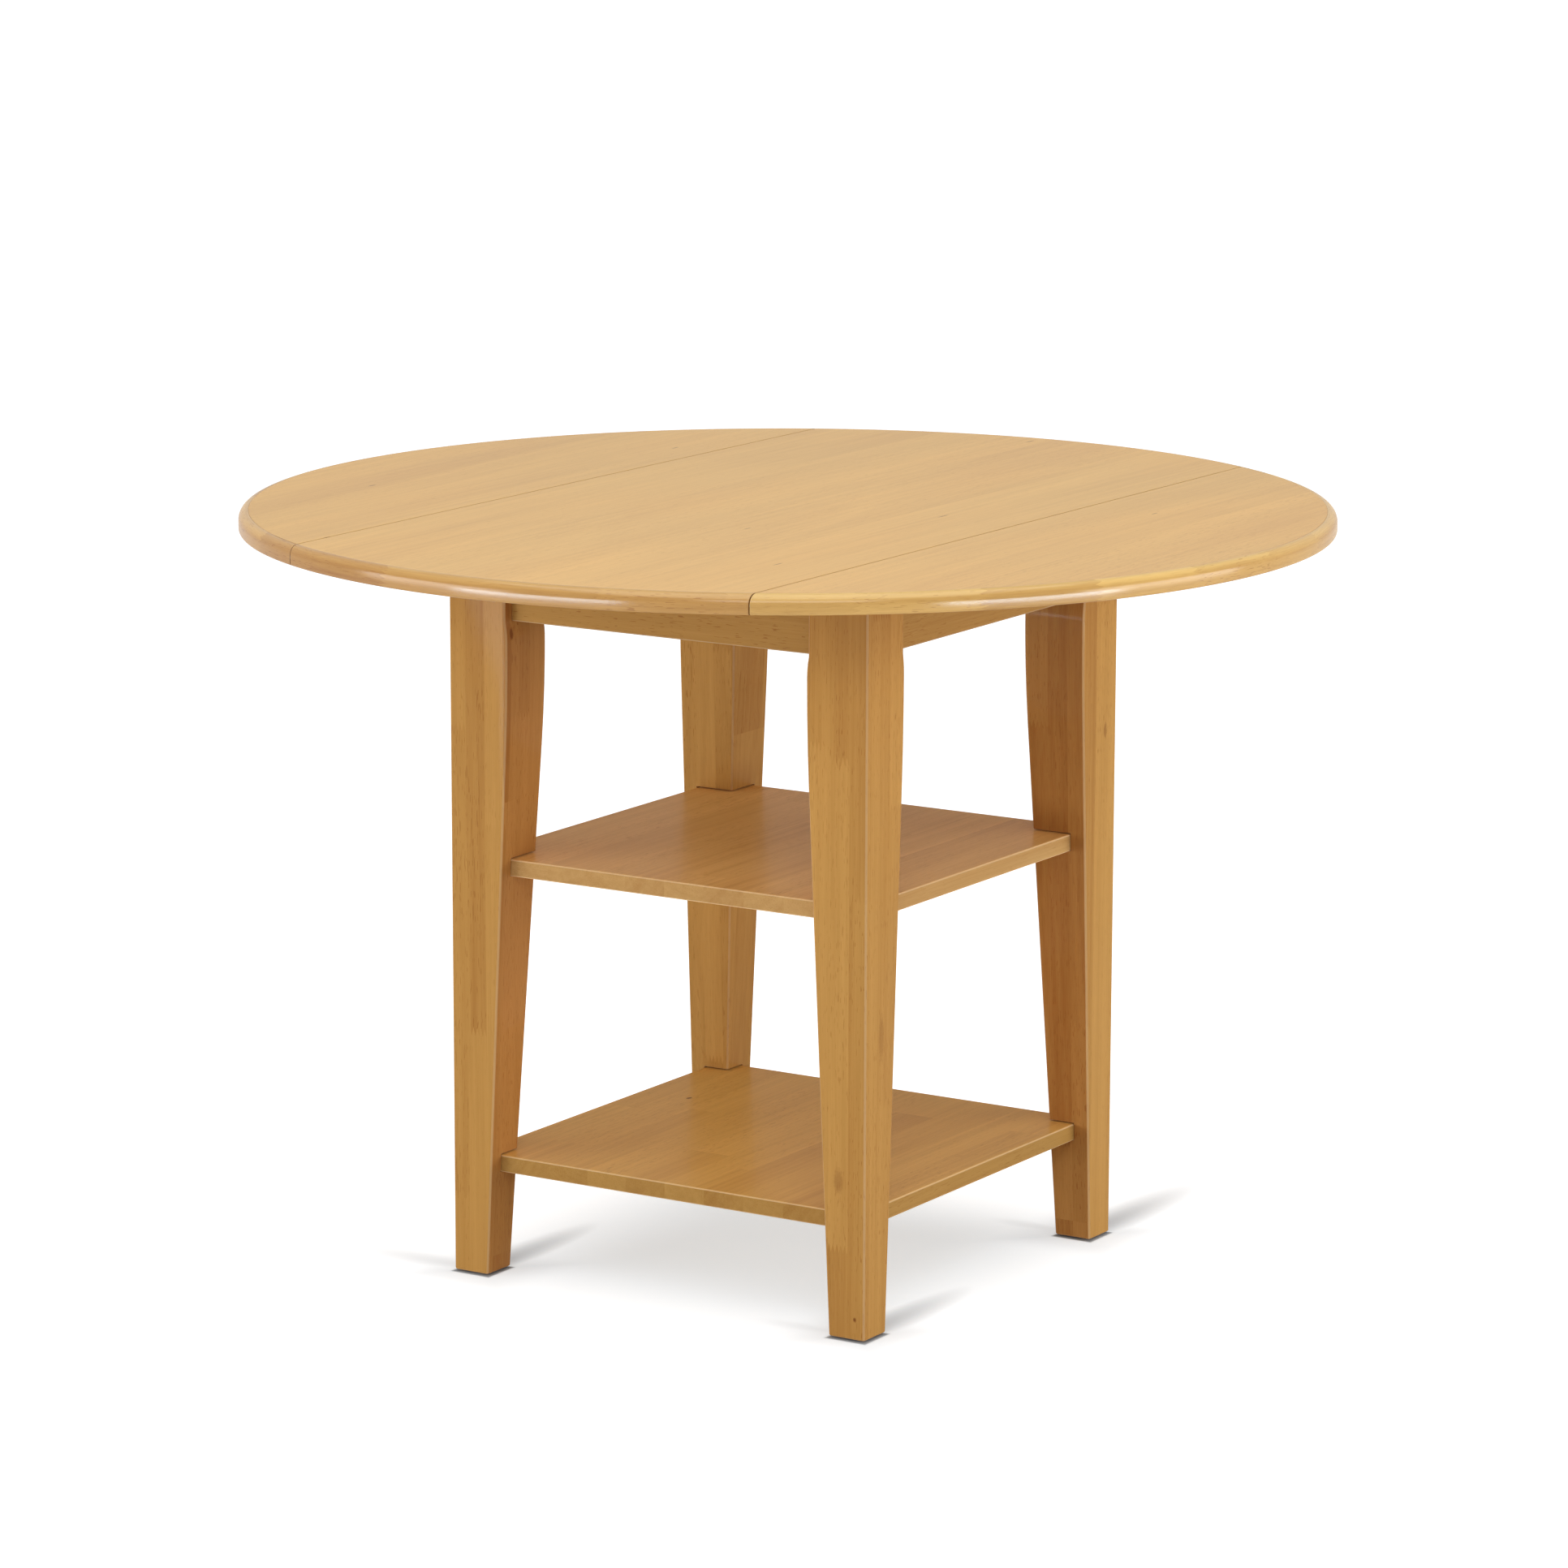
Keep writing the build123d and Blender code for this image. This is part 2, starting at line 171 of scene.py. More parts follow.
# Painted shade on the legs under the top
LEG_SHADE_UNDER_TOP = (0.66, 0.60, 0.58, 1.0)
UNDER_TOP_START, UNDER_TOP_END = 0.13, 0.03
# Painted shade on the inner faces of two legs
LEG_INNER_SHADE = (0.87, 0.76, 0.76, 1.0)
SHELF_EDGE = (0.49, 0.43, 0.40, 1.0)

# Small dark marks in the wood: (x, y) and size on the top, then place, size and strength
TOP_FLECKS = [
    ((0.167, 0.016), (0.0016, 0.012)), ((-0.254, -0.410), (0.002, 0.008)),
    ((0.186, -0.312), (0.0015, 0.010)), ((-0.410, -0.121), (0.002, 0.009)),
    ((-0.015, 0.498), (0.002, 0.010)), ((0.330, 0.140), (0.0014, 0.008)),
    ((-0.300, 0.260), (0.0016, 0.009)), ((0.050, -0.150), (0.0012, 0.008)),
]
LEG_KNOTS = [
    ((-0.1700, -0.2280, 0.643), (0.004, 0.004, 0.008), 0.75),
    ((0.2264, -0.2370, 0.022), (0.0022, 0.004, 0.0030), 0.9),
    ((0.2076, -0.2370, 0.155), (0.007, 0.004, 0.016), 0.35),
    ((0.2370, -0.2086, 0.292), (0.004, 0.006, 0.030), 0.30),
    ((-0.2040, 0.2370, 0.380), (0.005, 0.004, 0.012), 0.50),
    ((0.2370, 0.2150, 0.520), (0.004, 0.004, 0.010), 0.45),
    ((-0.2370, -0.1980, 0.470), (0.004, 0.005, 0.014), 0.45),
]
SHELF_KNOT, SHELF_KNOT_SIZE = (-0.1618, 0.0726, LOWER_SHELF_HIGH), (0.0035, 0.005, 0.01)

# Screws and washers, which the solids leave out. A screw's rings are shares of its radius,
# its angles are in degrees, and its recess is a hub with four arms at a share of its height.
SCREW_RADIUS = 3.6 * MM
SCREW_HEIGHT = 1.5 * MM
SCREW_RINGS = (1.0, 0.97, 0.84, 0.66, 0.58, 0.46, 0.30, 0.16)
SCREW_ANGLES = [quarter * 90 + a for quarter in range(4) for a in (-16, -9, 9, 16, 32, 45, 58)]
RECESS_HUB, RECESS_ARM, RECESS_HALF_ANGLE, RECESS_LEVEL = 0.16, 0.58, 9, 0.30
HINGE_SCREW_SPREAD, HINGE_SCREW_FAR, HINGE_SCREW_NEAR = 0.30, 0.22, 0.52
BRACKET_SCREW_INSET = 8 * MM
BLOCK_SCREW_SLIDE = 20 * MM
RAIL_SCREW_INSET = 30 * MM
WASHER_RADIUS = 10 * MM
WASHER_HOLE = 4.5 * MM
WASHER_THICKNESS = 1.2 * MM
WASHER_ROUND, WASHER_CHAMFER = 0.4 * MM, 0.3 * MM
WASHER_SIDES = 40
BOLT_REACH = 0.03

# The studio. The floor has one shade for the light that it gives the table, and two that are seen,
# in the middle and outside the base. Its glow is lower in the middle as painted shade under the
# table, and the feet leave real contact shadows with painted shade and painted shadow streaks round
# them.
WHITE = (1.0, 1.0, 1.0)
COOL = (0.70, 0.86, 1.0)
AMBIENT, HORIZON = 0.19, 0.36
FLOOR_RADIUS = 80.0
FLOOR_SHADE = (0.80, 0.80, 0.80, 1.0)
FLOOR_SHADE_SEEN = (0.43, 0.50, 0.57, 1.0)
FLOOR_SHADE_OUTSIDE = (0.47, 0.475, 0.48, 1.0)
# The glow in the middle, lower than outside: painted shade under the table
FLOOR_GLOW = 0.57
GLOW_INNER, GLOW_OUTER = 0.10, 0.40
CONTACT_SHADE, CONTACT_REACH, CONTACT_EDGE = 0.2, 60 * MM, 5 * MM
STREAK_BACK, STREAK_BACK_STRENGTH = 0.34, 0.72
STREAK_LEFT, STREAK_LEFT_STRENGTH = 0.24, 0.44
LAMP_AIM = Vector((0.0, 0.0, 0.45))
LAMP_DISTANCE, OVERHEAD_DISTANCE = 3.8, 3.2
CAMERA_AZIMUTH, CAMERA_ELEVATION = 32.826, 12.224
CAMERA_PLACE = (3.2352, -5.1546, 1.6881)
CAMERA_SHIFT = (0.0474, 0.0674)
CAMERA_LENS, CAMERA_SENSOR = 144.93, 36.0
CAMERA_REACH = 200.0


# Node trees


class Tree:
    """Short calls that build one node tree."""

    def __init__(self, tree):
        self.tree = tree

    def node(self, kind, **settings):
        made = self.tree.nodes.new(kind)
        for name, value in settings.items():
            setattr(made, name, value)
        return made

    def feed(self, socket, value):
        if isinstance(value, bpy.types.NodeSocket):
            self.tree.links.new(value, socket)
        else:
            socket.default_value = value

    def run(self, made, *values):
        for socket, value in zip(made.inputs, values):
            self.feed(socket, value)
        return made.outputs[0]

    def math(self, operation, *values):
        return self.run(self.node("ShaderNodeMath", operation=operation), *values)

    def total(self, *values):
        result = values[0]
        for value in values[1:]:
            result = self.math("ADD", result, value)
        return result

    def vector(self, *values):
        return self.run(self.node("ShaderNodeCombineXYZ"), *values)

    def parts(self, vector):
        made = self.node("ShaderNodeSeparateXYZ")
        self.feed(made.inputs[0], vector)
        return tuple(made.outputs)

    def place(self):
        return self.node("ShaderNodeTexCoord").outputs["Object"]

    def facing(self, kind="Normal"):
        """The X, Y and Z parts of the way that the surface faces."""
        return self.parts(self.node("ShaderNodeNewGeometry").outputs[kind])

    def scaled(self, vector, scale):
        return self.run(self.node("ShaderNodeVectorMath", operation="MULTIPLY"), vector, scale)

    def moved(self, vector, offset):
        return self.run(self.node("ShaderNodeVectorMath", operation="ADD"), vector, offset)

    def length(self, vector):
        made = self.node("ShaderNodeVectorMath", operation="LENGTH")
        self.feed(made.inputs[0], vector)
        return made.outputs["Value"]

    def noise(self, vector, detail=2.0, roughness=0.5):
        made = self.node("ShaderNodeTexNoise")
        made.inputs["Scale"].default_value = 1.0
        made.inputs["Detail"].default_value = detail
        made.inputs["Roughness"].default_value = roughness
        self.feed(made.inputs["Vector"], vector)
        return made.outputs["Fac"]

    def random(self, *values):
        made = self.node("ShaderNodeTexWhiteNoise", noise_dimensions="3D")
        self.feed(made.inputs["Vector"], self.vector(*values))
        return made.outputs["Value"]

    def smooth(self, value, low, high):
        """0 at low, 1 at high, and a soft step between."""
        made = self.node("ShaderNodeMapRange", interpolation_type="SMOOTHSTEP")
        self.feed(made.inputs["Value"], value)
        self.feed(made.inputs["From Min"], low)
        self.feed(made.inputs["From Max"], high)
        return made.outputs["Result"]

    def fade(self, value, low, high):
        """1 at low, 0 at high, and a soft step between."""
        return self.math("SUBTRACT", 1.0, self.smooth(value, low, high))

    def centred(self, value, amount):
        """A 0 to 1 value as a swing of that amount about 0."""
        return self.math("MULTIPLY", self.math("SUBTRACT", value, 0.5), amount)

    def ramp(self, value, stops):
        made = self.node("ShaderNodeValToRGB")
        elements = made.color_ramp.elements
        elements[0].position, elements[0].color = stops[0][0], (*stops[0][1], 1.0)
        elements[1].position, elements[1].color = stops[1][0], (*stops[1][1], 1.0)
        for place, colour in stops[2:]:
            elements.new(place).color = (*colour, 1.0)
        self.feed(made.inputs["Fac"], value)
        return made.outputs["Color"]

    def mixed(self, factor, first, second, blend="MIX"):
        made = self.node("ShaderNodeMix", data_type="RGBA", blend_type=blend)
        self.feed(made.inputs[0], factor)
        self.feed(made.inputs[6], first)
        self.feed(made.inputs[7], second)
        return made.outputs[2]

    def bump(self, height, strength, distance):
        made = self.node("ShaderNodeBump")
        made.inputs["Strength"].default_value = strength
        made.inputs["Distance"].default_value = distance
        self.feed(made.inputs["Height"], height)
        return made.outputs["Normal"]


def linear(red, green, blue):
    """An sRGB colour, 0 to 255, as the linear one that a shader takes."""
    values = (red / 255, green / 255, blue / 255)
    return tuple(v / 12.92 if v <= 0.04045 else ((v + 0.055) / 1.055) ** 2.4 for v in values)


def opaque(colour):
    """An sRGB colour as the linear one with alpha that a colour socket takes."""
    return (*linear(*colour), 1.0)


def tinted(colour, factors):
    """A colour with each of its channels multiplied."""
    return tuple(c * f for c, f in zip(colour, factors))


def group_socket(group, name, kind, way):
    """A new input or output of a node group."""
    group.interface.new_socket(name=name, in_out=way, socket_type=kind)


def ring_pattern(t, vector, place, seed):
    """Growth rings round a pith that lies outside the stave and drifts along it."""
    x, y, z = t.parts(vector)
    drift = t.centred(t.noise(t.scaled(place, (5.0, 5.0, 1.3)), 1.0), 0.05)
    across = t.math("SUBTRACT", x, t.math("ADD", t.centred(seed, 0.16), drift))
    deep = t.math("SUBTRACT", y, t.math("ADD", 0.05, t.math("MULTIPLY", drift, 0.6)))
    squares = t.math("ADD", t.math("MULTIPLY", across, across), t.math("MULTIPLY", deep, deep))
    radius = t.math("MULTIPLY", t.math("SQRT", squares), 150.0)
    return t.noise(t.vector(radius, t.math("MULTIPLY", seed, 40.0), z), 2.0, 0.6)


def rubberwood_group():
    """Grain of one stave. Its Vector runs across, deep and along the grain, in metres."""
    group = bpy.data.node_groups.new("rubberwood", "ShaderNodeTree")
    group_socket(group, "Vector", "NodeSocketVector", "INPUT")
    group_socket(group, "Seed", "NodeSocketFloat", "INPUT")
    for name in ("Tone", "Pores", "Height"):
        group_socket(group, name, "NodeSocketFloat", "OUTPUT")
    t = Tree(group)
    entry, leave = t.node("NodeGroupInput"), t.node("NodeGroupOutput")
    vector, seed = entry.outputs["Vector"], entry.outputs["Seed"]
    shift = t.vector(*(t.math("MULTIPLY", seed, by) for by in (7.3, -5.1, 11.7)))
    place = t.moved(vector, shift)
    rings = ring_pattern(t, vector, place, seed)
    broad = t.noise(t.scaled(place, (16.0, 16.0, 1.1)), 2.0)
    streaks = t.noise(t.scaled(place, (190.0, 190.0, 2.6)), 2.0)
    fibres = t.noise(t.scaled(place, (800.0, 800.0, 16.0)), 1.0)
    flecks = t.noise(t.scaled(place, (1050.0, 1050.0, 95.0)), 0.0)
    patches = t.noise(t.scaled(place, (40.0, 40.0, 7.0)), 1.0)
    limit = t.math("SUBTRACT", 0.80, t.math("MULTIPLY", patches, 0.22))
    pores = t.smooth(flecks, limit, t.math("ADD", limit, 0.06))
    swings = ((rings, 0.55), (broad, 0.60), (streaks, 0.42), (fibres, 0.34))
    tone = t.total(0.5, *(t.centred(value, amount) for value, amount in swings))
    t.feed(leave.inputs["Tone"], tone)
    t.feed(leave.inputs["Pores"], pores)
    t.feed(leave.inputs["Height"], t.math("SUBTRACT", t.math("MULTIPLY", fibres, 0.35), pores))
    return group


GRAIN = rubberwood_group()


class Wood:
    """The look of one kind of board.

    The contrast is that of the grain, and staves is how much one stave differs from the
    next. The coat is the lacquer, haze its roughness and gloss its index of refraction.
    """

    def __init__(
        self, colour, contrast=1.0, staves=0.3, pores=0.4, roughness=0.42,
        coat=0.05, haze=0.08, sheen=0.02, gloss=1.5,
    ):
        self.colour = linear(*colour)
        self.contrast = contrast
        self.staves = staves
        self.pores = pores
        self.roughness = roughness
        self.coat = coat
        self.haze = haze
        self.sheen = sheen
        self.gloss = gloss


def start_material(name):
    """A new material, with the means to build its tree and its shader."""
    material = bpy.data.materials.new(name)
    material.use_nodes = True
    return material, Tree(material.node_tree), material.node_tree.nodes["Principled BSDF"]


def in_strips(t, value, width):
    """The number of the strip that a place is in, and how far it is from the strip's middle."""
    strip = t.math("FLOOR", t.math("DIVIDE", value, width))
    middle = t.math("MULTIPLY", t.math("ADD", strip, 0.5), width)
    return strip, t.math("SUBTRACT", value, middle)


def finger_comb(t, value):
    """The zigzag of a finger joint, whose teeth follow one another along the value."""
    return t.math("MULTIPLY", t.math("PINGPONG", value, FINGER / 2), FINGER_SLOPE)


def stave_seed(t, strip, along, finger, length, extra=0.0):
    """A random number for each length of a strip, where the lengths meet in a finger joint."""
    slip = t.random(strip, extra, 3.0)
    reach = t.math("ADD", along, finger_comb(t, finger))
    run = t.math("ADD", t.math("DIVIDE", reach, length), slip)
    return t.random(strip, t.math("FLOOR", run), extra)


def finish_wood(t, shader, wood, vector, seed, marks=None):
    """Colours a wooden material from the grain of its staves, adds marks, and lacquers it."""
    grain = t.node("ShaderNodeGroup", node_tree=GRAIN)
    t.feed(grain.inputs["Vector"], vector)
    t.feed(grain.inputs["Seed"], seed)
    tone = t.centred(grain.outputs["Tone"], wood.contrast)
    tone = t.total(0.5, tone, t.centred(seed, wood.staves))
    dark = tinted(wood.colour, DARK_GRAIN)
    light = tinted(wood.colour, LIGHT_GRAIN)
    colour = t.ramp(tone, [(0.0, dark), (1.0, light), (0.5, wood.colour)])
    pore_colour = (*tinted(wood.colour, PORE_TINT), 1.0)
    open_grain = t.math("ADD", 0.35, t.math("MULTIPLY", t.random(seed, 3.0, 1.0), 1.3))
    pores = t.math("MULTIPLY", t.math("MULTIPLY", grain.outputs["Pores"], wood.pores), open_grain)
    colour = t.mixed(pores, colour, pore_colour)
    if marks is not None:
        colour = marks(t, colour)
    t.feed(shader.inputs["Base Color"], colour)
    t.feed(shader.inputs["Roughness"], t.math("ADD", wood.roughness, t.centred(tone, 0.10)))
    shader.inputs["IOR"].default_value = 1.47
    shader.inputs["Specular IOR Level"].default_value = wood.sheen
    shader.inputs["Coat Weight"].default_value = wood.coat
    shader.inputs["Coat Roughness"].default_value = wood.haze
    shader.inputs["Coat IOR"].default_value = wood.gloss
    t.feed(shader.inputs["Normal"], t.bump(grain.outputs["Height"], 0.2, 0.1 * MM))


def seam_shadow(t, colour):
    """Painted shade in the gaps along the two seams, which darkens their arrises."""
    x, _, _ = t.parts(t.place())
    reach = t.math("ABSOLUTE", t.math("SUBTRACT", t.math("ABSOLUTE", x), SEAM_MIDDLE))
    shade = t.fade(reach, 0.5 * MM, 1.0 * MM)
    return t.mixed(t.math("MULTIPLY", shade, 0.45), colour, opaque(SEAM_SHADE_BROWN))


def arris_wear_and_highlight(t, colour, amount):
    """The lacquer thins on rounded arrises and a painted highlight runs along them, so the wood
    looks paler there.
    """
    x, y, z = (t.math("ABSOLUTE", part) for part in t.facing())
    squareness = t.math("MAXIMUM", t.math("MAXIMUM", x, y), z)
    wear_and_highlight = t.math("MULTIPLY", t.fade(squareness, 0.84, 0.985), amount)
    return t.mixed(wear_and_highlight, colour, opaque(ARRIS_WEAR_AND_HIGHLIGHT))


def knot(t, colour, centre, size, strength):
    """A small dark mark in the wood, at that place and of that size along X, Y and Z."""
    from_centre = t.moved(t.place(), tuple(-c for c in centre))
    reach = t.length(t.scaled(from_centre, tuple(1.0 / v for v in size)))
    wobble = t.centred(t.noise(t.scaled(t.place(), (400.0, 400.0, 400.0)), 2.0), 0.5)
    mark = t.fade(t.math("ADD", reach, wobble), 0.35, 1.0)
    return t.mixed(t.math("MULTIPLY", mark, strength), colour, opaque(KNOT_BROWN))


def top_material():
    """The wide panels of the top, veneered along Y."""
    material, t, shader = start_material("lacquered_top")
    x, y, z = t.parts(t.place())
    strip, across = in_strips(t, x, TOP_STAVE)
    seed = t.random(strip, 1.0, 5.0)
    wood = Wood(
        TOP_WOOD, contrast=0.66, staves=0.10, pores=0.22, roughness=0.38, coat=0.12, sheen=0.03,
    )
    finish_wood(t, shader, wood, t.vector(across, z, y), seed, top_patches)
    return material


def top_patches(t, colour):
    """Broad cooler and warmer clouds that a lacquered veneer shows."""
    cloud = t.noise(t.scaled(t.place(), (5.0, 2.2, 1.0)), 2.0)
    tint = t.mixed(t.smooth(cloud, 0.3, 0.7), opaque(COOL_CLOUD), opaque(WARM_CLOUD))
    colour = t.mixed(0.22, colour, tint, "MULTIPLY")
    for centre, size in TOP_FLECKS:
        colour = knot(t, colour, (*centre, TABLE_TOP), (*size, 0.01), 0.55)
    return seam_shadow(t, colour)


def rim_tones(t, colour):
    """The band is paler on the right leaf, and has painted light towards its top, where it faces up
    and runs into the panels.
    """
    x, _, _ = t.parts(t.place())
    _, _, up = t.facing()
    colour = t.mixed(t.smooth(up, 0.25, 1.0), colour, RIM_LIGHT_FROM_ABOVE, "MULTIPLY")
    on_right = t.math("GREATER_THAN", x, SEAM_LOW)
    return seam_shadow(t, t.mixed(on_right, colour, RIM_OF_RIGHT_LEAF, "MULTIPLY"))


def rim_material():
    """The band round the top, of straight blocks finger-jointed end to end."""
    material, t, shader = start_material("lacquered_rim")
    x, y, z = t.parts(t.place())
    angle = t.math("ARCTAN2", y, x)
    step = RIM_BLOCK / TOP_RADIUS
    turn = t.math("ADD", angle, t.math("DIVIDE", finger_comb(t, z), TOP_RADIUS))
    index = t.math("FLOOR", t.math("DIVIDE", turn, step))
    middle = t.math("MULTIPLY", t.math("ADD", index, 0.5), step)
    cosine, sine = t.math("COSINE", middle), t.math("SINE", middle)
    radial = t.math("ADD", t.math("MULTIPLY", x, cosine), t.math("MULTIPLY", y, sine))
    along = t.math("SUBTRACT", t.math("MULTIPLY", y, cosine), t.math("MULTIPLY", x, sine))
    seed = t.random(index, 2.0, 9.0)
    wood = Wood(
        RIM_WOOD, contrast=1.0, staves=0.38, pores=0.35, roughness=0.36,
        coat=0.55, haze=0.16, sheen=0.0, gloss=1.7,
    )
    local = t.vector(t.math("SUBTRACT", radial, TOP_RADIUS), z, along)
    finish_wood(t, shader, wood, local, seed, rim_tones)
    return material


def leg_material():
    """Legs glued up from upright staves."""
    material, t, shader = start_material("lacquered_leg")
    x, y, z = t.parts(t.place())
    strip_x = t.math("FLOOR", t.math("DIVIDE", x, LEG_STAVE))
    strip_y = t.math("FLOOR", t.math("DIVIDE", y, LEG_STAVE * 1.5))
    strip = t.math("ADD", strip_x, t.math("MULTIPLY", strip_y, 17.0))
    seed = stave_seed(t, strip, z, t.math("ADD", x, y), LEG_STAVE_LENGTH)
    side_x, side_y = t.math("SIGN", x), t.math("SIGN", y)
    local_x = t.math("SUBTRACT", x, t.math("MULTIPLY", side_x, LEG_CENTRE))
    local_y = t.math("SUBTRACT", y, t.math("MULTIPLY", side_y, LEG_CENTRE))
    wood = Wood(LEG_WOOD, contrast=0.82, staves=0.34, pores=0.30)
    finish_wood(t, shader, wood, t.vector(local_x, local_y, z), seed, leg_marks)
    return material


def leg_marks(t, colour):
    """The legs' knots, painted shade under the top and on the inner faces, and worn arrises with a
    painted highlight.
    """
    for centre, size, strength in LEG_KNOTS:
        colour = knot(t, colour, centre, size, strength)
    _, _, height = t.parts(t.place())
    shade_under_top = t.smooth(height, LEG_HIGH.z - UNDER_TOP_START, LEG_HIGH.z - UNDER_TOP_END)
    # Painted shade on the legs just under the top
    colour = t.mixed(t.math("MULTIPLY", shade_under_top, 0.55), colour, LEG_SHADE_UNDER_TOP, "MULTIPLY")
    return arris_wear_and_highlight(t, shaded_inner_faces(t, colour), 0.17)


def shaded_inner_faces(t, colour):
    """Painted shade: the photograph shows redder and darker inner faces on two of the legs.

    They are the front left and the back right one, where x and y have the same sign.
    """
    x, y, _ = t.parts(t.place())
    face_x, face_y, _ = t.facing("True Normal")
    outwards = t.math("ADD", t.math("MULTIPLY", x, face_x), t.math("MULTIPLY", y, face_y))
    inwards = t.math("LESS_THAN", outwards, 0.0)
    chosen = t.math("GREATER_THAN", t.math("MULTIPLY", x, y), 0.0)
    amount = t.math("MULTIPLY", inwards, chosen)
    return t.mixed(amount, colour, LEG_INNER_SHADE, "MULTIPLY")


def apron_marks(t, colour):
    """The worn arrises of an apron, with a painted highlight."""
    return arris_wear_and_highlight(t, colour, 0.25)


def board_material(name, wood, axis, board, marks=None):
    """Boards of that (width, length) glued side by side, with the grain along that axis."""
    material, t, shader = start_material(name)
    x, y, z = t.parts(t.place())
    along, wide, deep = {"x": (x, z, y), "y": (y, x, z)}[axis]
    width, length = board
    strip, across = in_strips(t, wide, width)
    seed = stave_seed(t, strip, along, deep, length)
    finish_wood(t, shader, wood, t.vector(across, deep, along), seed, marks)
    return material


def shelf_marks(t, colour):
    """A shelf's edges are darker than its faces, its worn arrises carry a painted highlight, and its
    notches painted shade.
    """
    _, _, up = t.facing("True Normal")
    edge = t.fade(t.math("ABSOLUTE", up), 0.3, 0.9)
    colour = t.mixed(t.math("MULTIPLY", edge, 0.9), colour, SHELF_EDGE, "MULTIPLY")
    colour = knot(t, colour, SHELF_KNOT, SHELF_KNOT_SIZE, 0.8)
    return arris_wear_and_highlight(t, notch_shadows(t, colour), 0.35)


def notch_shadows(t, colour):
    """Painted shade where the shelves are notched round the legs: thin dark lines for the shadow in
    the gaps, and a softer shade that fades out 9 mm from them.
    """
    x, y, z = t.parts(t.place())
    x, y = t.math("ABSOLUTE", x), t.math("ABSOLUTE", y)
    upper = t.math("GREATER_THAN", z, (MIDDLE_LEVEL + LOWER_LEVEL) / 2)
    further = t.math("MULTIPLY", upper, MIDDLE_NOTCH - LOWER_NOTCH)
    notch = t.math("ADD", LOWER_NOTCH, further)
    reach = t.math("MAXIMUM", t.math("SUBTRACT", notch, x), t.math("SUBTRACT", notch, y))
    gap_shadow = t.math("MULTIPLY", t.fade(reach, 1.2 * MM, 3.0 * MM), 0.92)
    shade = t.math("MULTIPLY", t.fade(reach, 0.0, 9 * MM), 0.30)
    return t.mixed(t.math("MAXIMUM", gap_shadow, shade), colour, opaque(NOTCH_SHADE_BROWN))


def shelf_material(name, level, colour):
    """A shelf of staves that run front to back."""
    material, t, shader = start_material(name)
    x, y, z = t.parts(t.place())
    strip, across = in_strips(t, x, SHELF_STAVE)
    height = t.math("SUBTRACT", z, level)
    seed = stave_seed(t, strip, y, height, SHELF_STAVE_LENGTH, level * 10)
    wood = Wood(
        colour, contrast=0.75, staves=0.13, pores=0.2, roughness=0.36, coat=0.03, sheen=0.01,
    )
    finish_wood(t, shader, wood, t.vector(across, height, y), seed, shelf_marks)
    return material


def metal_material(name, colour, roughness, grain):
    """Plated steel with fine scratches and a slightly uneven plating."""
    material, t, shader = start_material(name)
    place = t.place()
    clouds = t.noise(t.scaled(place, (90.0, 90.0, 90.0)), 3.0)
    lines = t.noise(t.scaled(place, grain), 2.0)
    base = linear(*colour)
    stops = [(0.3, tinted(base, (0.78, 0.77, 0.75))), (0.7, base)]
    t.feed(shader.inputs["Base Color"], t.ramp(clouds, stops))
    shader.inputs["Metallic"].default_value = 1.0
    t.feed(shader.inputs["Roughness"], t.math("ADD", roughness, t.centred(lines, 0.16)))
    t.feed(shader.inputs["Normal"], t.bump(lines, 0.15, 0.05 * MM))
    return material


def plastic_material(name, colour):
    """Moulded plastic with a fine spark-eroded grain."""
    material, t, shader = start_material(name)
    place = t.place()
    grain = t.noise(t.scaled(place, (2500.0, 2500.0, 2500.0)), 2.0)
    wear = t.noise(t.scaled(place, (120.0, 120.0, 120.0)), 3.0)
    base = linear(*colour)
    stops = [(0.3, tinted(base, (0.7, 0.7, 0.7))), (0.75, base)]
    t.feed(shader.inputs["Base Color"], t.ramp(wear, stops))
    t.feed(shader.inputs["Roughness"], t.math("ADD", 0.5, t.centred(grain, 0.12)))
    t.feed(shader.inputs["Normal"], t.bump(grain, 0.3, 0.05 * MM))
    return material


TOP = top_material()
RIM = rim_material()
LEG = leg_material()
APRON = Wood(APRON_SHADED_WOOD, contrast=1.0, pores=0.6)
INNER = Wood(INNER_WOOD, contrast=1.0, staves=0.3, pores=0.6, roughness=0.55, coat=0.0)
APRON_X = board_material("lacquered_apron_x", APRON, "x", APRON_BOARD, apron_marks)
APRON_Y = board_material("lacquered_apron_y", APRON, "y", APRON_BOARD, apron_marks)
RAIL_X = board_material("planed_rail_x", INNER, "x", RAIL_BOARD)
RAIL_Y = board_material("planed_rail_y", INNER, "y", RAIL_BOARD)
MIDDLE_SHELF = shelf_material("lacquered_middle_shelf", MIDDLE_SHELF_LOW, MIDDLE_SHELF_BRIGHTENED_WOOD)
LOWER_SHELF = shelf_material("lacquered_lower_shelf", LOWER_SHELF_LOW, LOWER_SHELF_WOOD)
HINGE_STEEL = metal_material("plated_hinge_steel", HINGE_METAL, 0.34, (60.0, 900.0, 60.0))
BRACKET_STEEL = metal_material("plated_bracket_steel", BRACKET_METAL, 0.38, (700.0, 700.0, 60.0))
SCREW_STEEL = metal_material("plated_screw_steel", SCREW_METAL, 0.32, (900.0, 900.0, 900.0))
BOLT_STEEL = metal_material("plated_bolt_steel", BOLT_METAL, 0.30, (300.0, 300.0, 900.0))
GLIDE = plastic_material("moulded_glide", GLIDE_GREY)


# Meshes


def placed(name, data):
    """A new object in the scene."""
    made = bpy.data.objects.new(name, data)
    bpy.context.scene.collection.objects.link(made)
    return made


